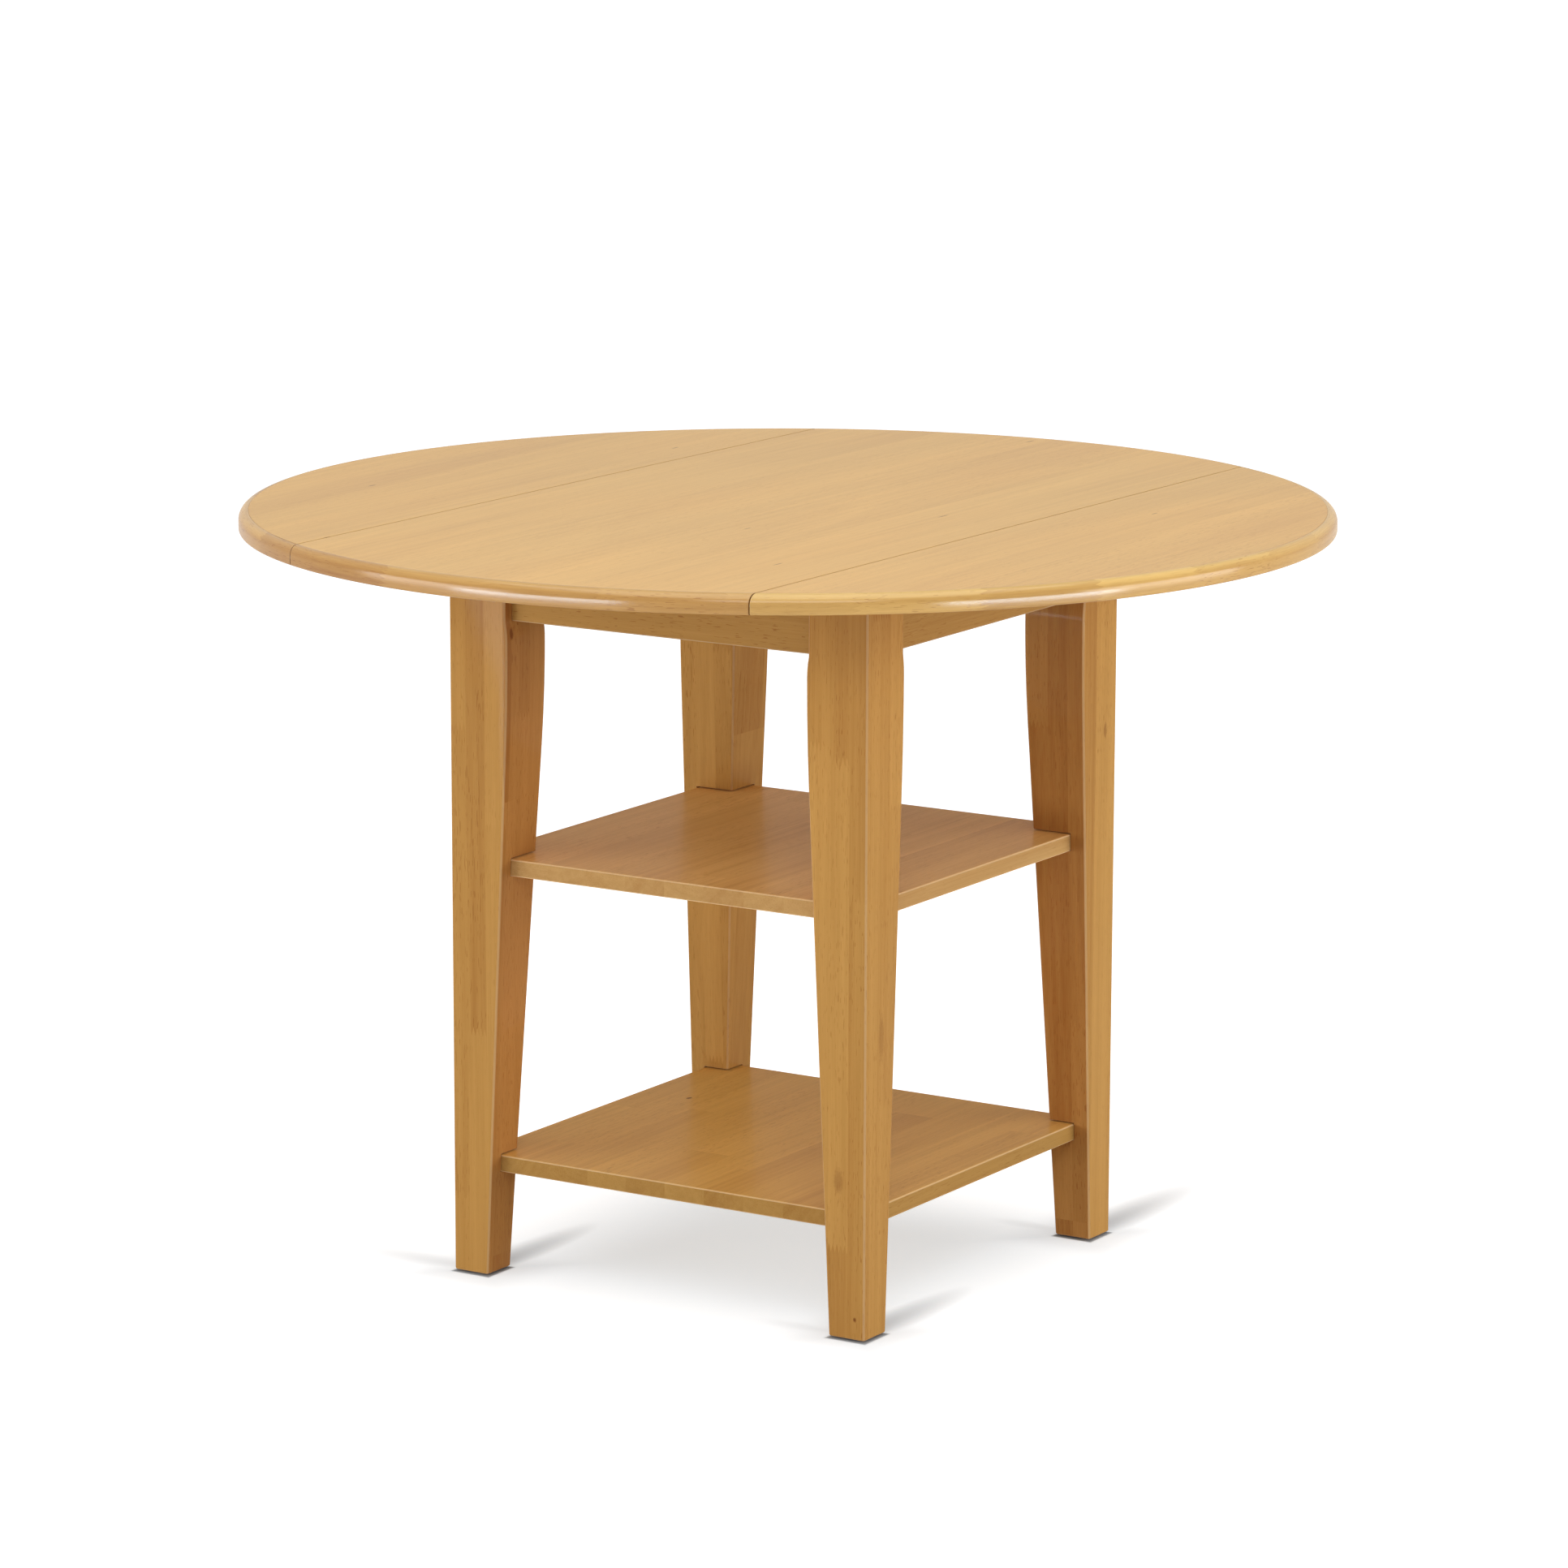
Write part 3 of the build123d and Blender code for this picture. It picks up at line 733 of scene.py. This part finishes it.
def mesh_of(bm, name, sharp=None):
    """The finished mesh, whose edges are sharp above that angle in degrees."""
    mesh = bpy.data.meshes.new(name)
    bm.to_mesh(mesh)
    bm.free()
    if sharp is not None:
        mesh.set_sharp_from_angle(angle=math.radians(sharp))
    return mesh


def bridge(bm, first, second, closed=True):
    """Faces between two rows of points, which are rings unless closed is False."""
    count = len(first)
    for i in range(count if closed else count - 1):
        j = (i + 1) % count
        bm.faces.new((first[i], first[j], second[j], second[i]))


def piece(name, mesh, material, body, nodes=()):
    """A finished piece of the table, which rides on its body."""
    for polygon in mesh.polygons:
        polygon.use_smooth = True
    mesh.materials.append(material)
    made = placed(name, mesh)
    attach(made, body)
    if nodes:
        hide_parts(*nodes)
    return made


def eased(made, width, angle=25.0):
    """Rounds a piece's edges where its faces turn by more than that angle in degrees."""
    bevel = made.modifiers.new("arris", "BEVEL")
    bevel.width = width
    bevel.segments = ARRIS_STEPS
    bevel.limit_method = "ANGLE"
    bevel.angle_limit = math.radians(angle)
    bevel.harden_normals = True
    bevel.use_clamp_overlap = True
    return made


def dressed(node, material, arris, angle=25.0):
    """The node's own shape with rounded arrises, in place of the plain solid."""
    source = frame["nodes"][node]
    bm = bmesh.new()
    bm.from_mesh(source.data)
    bmesh.ops.remove_doubles(bm, verts=bm.verts, dist=SAME_POINT_DRESSED)
    bmesh.ops.dissolve_limit(bm, angle_limit=math.radians(0.1), verts=bm.verts, edges=bm.edges)
    bmesh.ops.recalc_face_normals(bm, faces=bm.faces)
    mesh = mesh_of(bm, node + "_made", 30)
    made = piece(node + "_made", mesh, material, source["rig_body"], [node])
    return eased(made, arris, angle)


def quarter_round(height, radius, first, step):
    """Points of a rounded edge of the band, in steps of that many degrees from the first."""
    turns = [math.radians(first + angle) for angle in range(0, 91, step)]
    middle = TOP_RADIUS - radius
    return [(middle + radius * math.cos(a), height + radius * math.sin(a)) for a in turns]


def rim_profile():
    """The band's section as (radius, height) points, anticlockwise from the inner corner below."""
    under = quarter_round(UNDERSIDE + UNDER_EDGE_ROUND, UNDER_EDGE_ROUND, -90, 15)
    over = quarter_round(TABLE_TOP - TOP_EDGE_ROUND, TOP_EDGE_ROUND, 0, 5)
    return [(CORE_RADIUS, UNDERSIDE), *under, *over, (CORE_RADIUS, TABLE_TOP)]


def arc(radius, start_x, end_x, side):
    """Points of a circle between two planes across X, on the side of positive or negative Y."""
    first = math.asin(max(-1.0, min(1.0, start_x / radius)))
    last = math.asin(max(-1.0, min(1.0, end_x / radius)))
    turns = [first + (last - first) * i / ARC_STEPS for i in range(ARC_STEPS + 1)]
    return [(radius * math.sin(a), side * radius * math.cos(a)) for a in turns]


def leaf_arc(radius, side):
    """Points of a leaf's half of the circle, from the seam's back end to its front end."""
    reach = math.acos(SEAM_HIGH / radius)
    turns = [reach - 2 * reach * i / ARC_STEPS for i in range(ARC_STEPS + 1)]
    return [(side * radius * math.cos(a), radius * math.sin(a)) for a in turns]


def rim_mesh(name, path):
    """The band along a path, which gives the points at each radius."""
    bm = bmesh.new()
    rows = []
    for radius, height in rim_profile():
        rows.append([bm.verts.new((x, y, height)) for x, y in path(radius)])
    for row, following in zip(rows, rows[1:] + rows[:1]):
        bridge(bm, row, following, closed=False)
    bm.faces.new([row[0] for row in rows])
    bm.faces.new([row[-1] for row in reversed(rows)])
    bmesh.ops.recalc_face_normals(bm, faces=bm.faces)
    return mesh_of(bm, name, 40)


def panel_mesh(name, outline):
    """A flat panel between the underside and the top of the table."""
    bm = bmesh.new()
    low = [bm.verts.new((x, y, UNDERSIDE)) for x, y in outline]
    high = [bm.verts.new((x, y, TABLE_TOP)) for x, y in outline]
    bm.faces.new(low)
    bm.faces.new(high)
    bridge(bm, low, high)
    bmesh.ops.recalc_face_normals(bm, faces=bm.faces)
    ease_seams(bm)
    return mesh_of(bm, name, 10)


def ease_seams(bm):
    """Softens the long edges along the seams, not the edge round the band."""
    long_edges = [
        e for e in bm.edges
        if abs(e.verts[0].co.x - e.verts[1].co.x) < 1e-6
        and abs(e.verts[0].co.y - e.verts[1].co.y) > 0.1
    ]
    bmesh.ops.bevel(
        bm, geom=long_edges, offset=SEAM_EASE, segments=ARRIS_STEPS, profile=0.5, affect="EDGES",
    )


# The top


def rim_piece(name, body, path):
    """One piece of the band, in place of its solid."""
    mesh = rim_mesh(name + "_made", path)
    made = piece(name + "_made", mesh, RIM, body, [name])
    return eased(made, SEAM_EASE, 70.0)


def centre_section():
    """The fixed middle of the top, between the two seams."""
    front = arc(CORE_RADIUS, -SEAM_LOW, SEAM_LOW, -1)
    back = arc(CORE_RADIUS, SEAM_LOW, -SEAM_LOW, 1)
    mesh = panel_mesh("centre_panel_made", front + back)
    piece("centre_panel_made", mesh, TOP, "base", ["centre_panel"])
    rim_piece("centre_edge_front", "base", lambda r: arc(r, -SEAM_LOW, SEAM_LOW, -1))
    rim_piece("centre_edge_back", "base", lambda r: arc(r, -SEAM_LOW, SEAM_LOW, 1))


def leaf(side_name, side):
    """The hinged leaf on the side of negative or positive X."""
    body = side_name + "_leaf"
    mesh = panel_mesh(body + "_panel_made", leaf_arc(CORE_RADIUS, side))
    piece(body + "_panel_made", mesh, TOP, body, [body + "_panel"])
    rim_piece(body + "_edge", body, lambda r: leaf_arc(r, side))


# The base


def base_wood():
    """Legs, corner blocks, aprons, guide rail and shelves."""
    for side in SIDES:
        for end in ENDS:
            dressed(f"{end}_{side}_leg", LEG, LEG_ARRIS)
            dressed(f"{end}_{side}_corner_block", RAIL_X, BOARD_ARRIS)
        dressed(side + "_apron", APRON_Y, BOARD_ARRIS)
    for end in ENDS:
        dressed(end + "_apron", APRON_X, BOARD_ARRIS)
    dressed("guide_rail", RAIL_Y, BOARD_ARRIS)
    dressed("middle_shelf", MIDDLE_SHELF, SHELF_ARRIS)
    dressed("lower_shelf", LOWER_SHELF, SHELF_ARRIS)


def supports():
    """The four sliding lopers that hold the leaves up, and their stop blocks."""
    for side in SIDES:
        for end in ENDS:
            dressed(f"{side}_{end}_loper", RAIL_X, BOARD_ARRIS)
            dressed(f"{side}_{end}_stop_block", RAIL_X, BOARD_ARRIS)


def hardware():
    """Hinges, brackets, hanger bolts with their nuts, and the glides under the feet."""
    for side in SIDES:
        for part in ("centre_flaps", "leaf_flaps", "pins"):
            node = f"{side}_hinge_{part}"
            dressed(node, HINGE_STEEL, METAL_ARRIS, METAL_ANGLE)
    for node in BRACKETS:
        dressed(node, BRACKET_STEEL, METAL_ARRIS, METAL_ANGLE)
    for node in ("hanger_bolts", "bolt_nuts"):
        dressed(node, BOLT_STEEL, METAL_ARRIS, METAL_ANGLE)
    dressed("foot_glides", GLIDE, METAL_ARRIS, METAL_ANGLE)


# Small fasteners


def solids(node):
    """The (lowest, highest) corners of each separate solid of a node, in order of place."""
    bm = bmesh.new()
    bm.from_mesh(frame["nodes"][node].data)
    bmesh.ops.remove_doubles(bm, verts=bm.verts, dist=SAME_POINT)
    left = set(bm.verts)
    boxes = []
    while left:
        found, queue = set(), [left.pop()]
        while queue:
            vert = queue.pop()
            found.add(vert)
            near = {edge.other_vert(vert) for edge in vert.link_edges} & left
            left -= near
            queue.extend(near)
        places = [vert.co.copy() for vert in found]
        low = Vector(min(p[i] for p in places) for i in range(3))
        boxes.append((low, Vector(max(p[i] for p in places) for i in range(3))))
    bm.free()
    return sorted(boxes, key=lambda box: tuple(round(v, 5) for v in box[0]))


def head_height(share, angle):
    """The height of a screw head at a share of its radius and at an angle in degrees."""
    from_arm = abs((angle + 45) % 90 - 45)
    if share <= RECESS_HUB or share <= RECESS_ARM and from_arm <= RECESS_HALF_ANGLE:
        return SCREW_HEIGHT * RECESS_LEVEL
    return SCREW_HEIGHT * math.sqrt(1.0 - share ** 2.4)


def screw_mesh(bm, centre, facing, turn):
    """A pan head with a cross recess, on a surface that faces that way."""
    spin = UP.rotation_difference(facing).to_matrix()
    rings = []
    for share in SCREW_RINGS:
        ring = []
        for angle in SCREW_ANGLES:
            a, radius = math.radians(angle) + turn, share * SCREW_RADIUS
            height = head_height(share, angle)
            point = Vector((radius * math.cos(a), radius * math.sin(a), height))
            ring.append(bm.verts.new(centre + spin @ point))
        rings.append(ring)
    for outer, inner in zip(rings, rings[1:]):
        bridge(bm, outer, inner)
    bm.faces.new(rings[-1])
    bm.faces.new(list(reversed(rings[0])))


def screws(name, places, body):
    """One piece with a screw head at each (centre, facing)."""
    bm = bmesh.new()
    for number, (centre, facing) in enumerate(places):
        screw_mesh(bm, centre, facing, 0.7 * number)
    piece(name, mesh_of(bm, name, 40), SCREW_STEEL, body)


def hinge_screws():
    """Three screws up through each flap: two far from the barrel and one near it."""
    for side_name, side in zip(SIDES, (-1, 1)):
        bodies = (("centre", "base", -side), ("leaf", side_name + "_leaf", side))
        for flap, body, away in bodies:
            places = []
            for low, high in solids(f"{side_name}_hinge_{flap}_flaps"):
                near, far = (low.x, high.x) if away > 0 else (high.x, low.x)
                reach = far - near
                middle, spread = (low.y + high.y) / 2, (high.y - low.y) * HINGE_SCREW_SPREAD
                level = high.z - STEEL_THICKNESS
                far_x, near_x = far - HINGE_SCREW_FAR * reach, far - HINGE_SCREW_NEAR * reach
                spots = ((far_x, middle - spread), (far_x, middle + spread), (near_x, middle))
                places += [(Vector((x, y, level)), DOWN) for x, y in spots]
            screws(f"{side_name}_hinge_{flap}_screws", places, body)


def bracket_screws(node):
    """One screw in each flange of the angle brackets, whose upright flange is the outer one."""
    places = []
    for low, high in solids(node):
        size, middle = high - low, (low + high) / 2
        axis = 0 if size.x > size.y else 1
        inward = -1.0 if middle[axis] > 0 else 1.0
        outer = high[axis] if inward < 0 else low[axis]
        upright, level = middle.copy(), middle.copy()
        upright[axis] = outer + inward * STEEL_THICKNESS
        upright.z = low.z + BRACKET_SCREW_INSET
        level[axis] = outer + inward * (size[axis] - BRACKET_SCREW_INSET)
        level.z = high.z - STEEL_THICKNESS
        facing = Vector((0.0, 0.0, 0.0))
        facing[axis] = inward
        places += [(upright, facing), (level, DOWN)]
    screws(node.replace("brackets", "bracket_screws"), places, "base")


def block_screws():
    """Two screws through each corner block's inner face, one on either side of the bolt."""
    places = []
    for end in ENDS:
        for side in SIDES:
            mesh = frame["nodes"][f"{end}_{side}_corner_block"].data
            inner = min(abs(v.co.x) + abs(v.co.y) for v in mesh.vertices) / 2
            low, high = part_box(f"{end}_{side}_corner_block")
            way_x, way_y = (1 if side == "right" else -1), (1 if end == "back" else -1)
            facing = Vector((-way_x, -way_y, 0.0)).normalized()
            for slide in (-BLOCK_SCREW_SLIDE, BLOCK_SCREW_SLIDE):
                x, y = way_x * (inner + slide), way_y * (inner - slide)
                places.append((Vector((x, y, (low.z + high.z) / 2)), facing))
    screws("corner_block_screws", places, "base")


def rail_screws():
    """Three screws up through the guide rail."""
    low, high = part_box("guide_rail")
    spots = (low.y + RAIL_SCREW_INSET, 0.0, high.y - RAIL_SCREW_INSET)
    places = [(Vector((0.0, y, low.z)), DOWN) for y in spots]
    screws("guide_rail_screws", places, "base")


def washer_section():
    """A washer's section as (radius, height) points, anticlockwise from the hole's lower edge."""
    return (
        (WASHER_HOLE, 0.0),
        (WASHER_RADIUS, 0.0),
        (WASHER_RADIUS, WASHER_THICKNESS - WASHER_CHAMFER),
        (WASHER_RADIUS - WASHER_ROUND, WASHER_THICKNESS),
        (WASHER_HOLE + WASHER_CHAMFER, WASHER_THICKNESS),
        (WASHER_HOLE, WASHER_THICKNESS - WASHER_CHAMFER),
    )


def washer_mesh(bm, centre, facing):
    """A flat washer on a surface that faces that way."""
    spin = UP.rotation_difference(facing).to_matrix()
    turns = [math.tau * i / WASHER_SIDES for i in range(WASHER_SIDES)]
    rings = []
    for radius, height in washer_section():
        ring = [Vector((radius * math.cos(a), radius * math.sin(a), height)) for a in turns]
        rings.append([bm.verts.new(centre + spin @ point) for point in ring])
    for ring, following in zip(rings, rings[1:] + rings[:1]):
        bridge(bm, ring, following)


def bolt_washers():
    """A washer under each nut, on the face of its corner block."""
    bm = bmesh.new()
    places = [vert.co for vert in frame["nodes"]["bolt_nuts"].data.vertices]
    for low, high in solids("bolt_nuts"):
        middle = (low + high) / 2
        facing = Vector((-math.copysign(1, middle.x), -math.copysign(1, middle.y), 0.0)).normalized()
        reach = min(p.dot(facing) for p in places if (p - middle).length < BOLT_REACH)
        washer_mesh(bm, middle + facing * (reach - middle.dot(facing)), facing)
    bmesh.ops.recalc_face_normals(bm, faces=bm.faces)
    piece("bolt_washers", mesh_of(bm, "bolt_washers", 30), BOLT_STEEL, "base")


def small_fasteners():
    """The screws and washers, piece by piece."""
    hinge_screws()
    for node in BRACKETS:
        bracket_screws(node)
    block_screws()
    rail_screws()
    bolt_washers()


# The studio


def white_for_camera(t):
    """1 for the camera and what gloss and glass show it, and 0 for the light on the table."""
    path = t.node("ShaderNodeLightPath").outputs
    seen = t.math("MAXIMUM", path["Is Camera Ray"], path["Is Glossy Ray"])
    return t.math("MAXIMUM", seen, path["Is Transmission Ray"])


def studio_world():
    """White where it is seen, and a dimmer light, brighter near the horizon, on the table."""
    world = bpy.data.worlds.new("studio")
    bpy.context.scene.world = world
    world.use_nodes = True
    t = Tree(world.node_tree)
    background = world.node_tree.nodes["Background"]
    background.inputs["Color"].default_value = (*WHITE, 1.0)
    _, _, up = t.parts(t.node("ShaderNodeTexCoord").outputs["Generated"])
    low = t.math("POWER", t.math("SUBTRACT", 1.0, t.math("ABSOLUTE", up)), 3.0)
    light = t.math("ADD", AMBIENT, t.math("MULTIPLY", low, HORIZON))
    seen = white_for_camera(t)
    unseen = t.math("MULTIPLY", t.math("SUBTRACT", 1.0, seen), light)
    t.feed(background.inputs["Strength"], t.math("ADD", seen, unseen))


def from_feet(t):
    """A place on the floor along X and Y, from the centre of the foot in its quarter."""
    x, y, _ = t.parts(t.place())
    centres = (t.math("MULTIPLY", t.math("SIGN", v), FOOT_CENTRE) for v in (x, y))
    return tuple(t.math("SUBTRACT", v, centre) for v, centre in zip((x, y), centres))


def clear_of_feet(t):
    """0 under the feet and 1 clear of them, so that their real contact shadows stay dark, with
    painted shade that fades out round each foot.
    """
    x, y = from_feet(t)
    reach = t.math("MAXIMUM", t.math("ABSOLUTE", x), t.math("ABSOLUTE", y))
    near = t.math("MULTIPLY", t.smooth(reach, FOOT_HALF, FOOT_HALF + CONTACT_REACH), CONTACT_SHADE)
    edge = t.smooth(reach, FOOT_HALF, FOOT_HALF + CONTACT_EDGE)
    return t.math("MULTIPLY", edge, t.math("ADD", near, 1.0 - CONTACT_SHADE))


def painted_shadow_streak(t, along, across, length, strength):
    """A soft painted shadow that starts at each foot and fades out after that length."""
    start = t.smooth(along, -FOOT_HALF, 0.0)
    fade = t.fade(along, FOOT_HALF * 0.5, FOOT_HALF + length)
    side = t.fade(t.math("ABSOLUTE", across), 0.0, FOOT_HALF * 2.4)
    return t.math("MULTIPLY", t.math("MULTIPLY", start, fade), t.math("MULTIPLY", side, strength))


def painted_foot_shadows(t):
    """1 less the long soft painted shadows of the feet, towards +Y and, shorter, towards -X."""
    x, y = from_feet(t)
    back = painted_shadow_streak(t, y, x, STREAK_BACK, STREAK_BACK_STRENGTH)
    left = painted_shadow_streak(t, t.math("MULTIPLY", x, -1.0), y, STREAK_LEFT, STREAK_LEFT_STRENGTH)
    return t.math("SUBTRACT", 1.0, t.math("MAXIMUM", back, left))


def see_through_from_below(t, shader):
    """The floor has no underside, so that the underneath of the table can be looked at."""
    mix = t.node("ShaderNodeMixShader")
    clear = t.node("ShaderNodeBsdfTransparent")
    from_below = t.node("ShaderNodeNewGeometry").outputs["Backfacing"]
    t.run(mix, from_below, shader.outputs[0], clear.outputs[0])
    t.feed(t.tree.nodes["Material Output"].inputs["Surface"], mix.outputs[0])


def floor_material():
    """Pale, with the glow that the camera sees, lowered under the table as painted shade, and the
    feet's painted shadows in it.
    """
    material, t, shader = start_material("studio_floor")
    shader.inputs["Roughness"].default_value = 1.0
    shader.inputs["Specular IOR Level"].default_value = 0.0
    seen = white_for_camera(t)
    x, y, _ = t.parts(t.place())
    reach = t.math("MAXIMUM", t.math("ABSOLUTE", x), t.math("ABSOLUTE", y))
    far = t.smooth(reach, GLOW_INNER, GLOW_OUTER)
    shade = t.mixed(far, FLOOR_SHADE_SEEN, FLOOR_SHADE_OUTSIDE)
    t.feed(shader.inputs["Base Color"], t.mixed(seen, FLOOR_SHADE, shade))
    # The glow is lower in the middle: painted shade under the table
    glow = t.math("ADD", FLOOR_GLOW, t.math("MULTIPLY", far, 1.0 - FLOOR_GLOW))
    glow = t.math("MINIMUM", t.math("MULTIPLY", glow, clear_of_feet(t)), painted_foot_shadows(t))
    shader.inputs["Emission Color"].default_value = (*WHITE, 1.0)
    t.feed(shader.inputs["Emission Strength"], t.math("MULTIPLY", seen, glow))
    see_through_from_below(t, shader)
    return material


def studio_floor():
    """A wide round floor under the feet."""
    bm = bmesh.new()
    bmesh.ops.create_circle(bm, cap_ends=True, radius=FLOOR_RADIUS, segments=64)
    mesh = mesh_of(bm, "studio_floor")
    mesh.materials.append(floor_material())
    floor = placed("studio_floor", mesh)
    floor.location.z = CAD_LOW.z


def softbox(name, azimuth, elevation, size, power, tint=WHITE, distance=LAMP_DISTANCE):
    """A rectangular lamp that looks at the middle of the table from that direction."""
    lamp = bpy.data.lights.new(name, "AREA")
    lamp.shape = "RECTANGLE"
    lamp.size, lamp.size_y = size
    lamp.energy = power
    lamp.color = tint
    made = placed(name, lamp)
    a, e = math.radians(CAMERA_AZIMUTH + azimuth), math.radians(elevation)
    back = Vector((math.sin(a) * math.cos(e), -math.cos(a) * math.cos(e), math.sin(e)))
    made.location = LAMP_AIM + back * distance
    made.rotation_euler = (-back).to_track_quat("-Z", "Y").to_euler()
    made.visible_camera = False


def studio_lamps():
    """Lamps round the table, at angles from the camera's own direction."""
    softbox("key_softbox", 78, 6, (2.8, 1.4), 54)
    softbox("key_strip", 48, -3.5, (2.6, 0.20), 33, COOL)
    softbox("fill_softbox", -74, 6, (2.4, 1.4), 46)
    softbox("fill_strip", -50, -3.5, (2.4, 0.20), 28, COOL)
    softbox("front_softbox", 0, 30, (2.0, 1.2), 22)
    softbox("overhead_softbox", 0, 80, (3.6, 3.6), 71, distance=OVERHEAD_DISTANCE)


def camera():
    """The photograph's own point of view."""
    lens = bpy.data.cameras.new("camera")
    lens.lens, lens.sensor_width = CAMERA_LENS, CAMERA_SENSOR
    lens.shift_x, lens.shift_y = CAMERA_SHIFT
    lens.clip_end = CAMERA_REACH
    made = placed("camera", lens)
    made.location = CAMERA_PLACE
    tilt = math.radians(90 - CAMERA_ELEVATION)
    made.rotation_euler = Euler((tilt, 0.0, math.radians(CAMERA_AZIMUTH)), "XYZ")
    bpy.context.scene.camera = made


centre_section()
leaf("right", 1)
leaf("left", -1)
base_wood()
supports()
hardware()
small_fasteners()
studio_world()
studio_floor()
studio_lamps()
camera()
bpy.context.scene.view_settings.view_transform = "Standard"
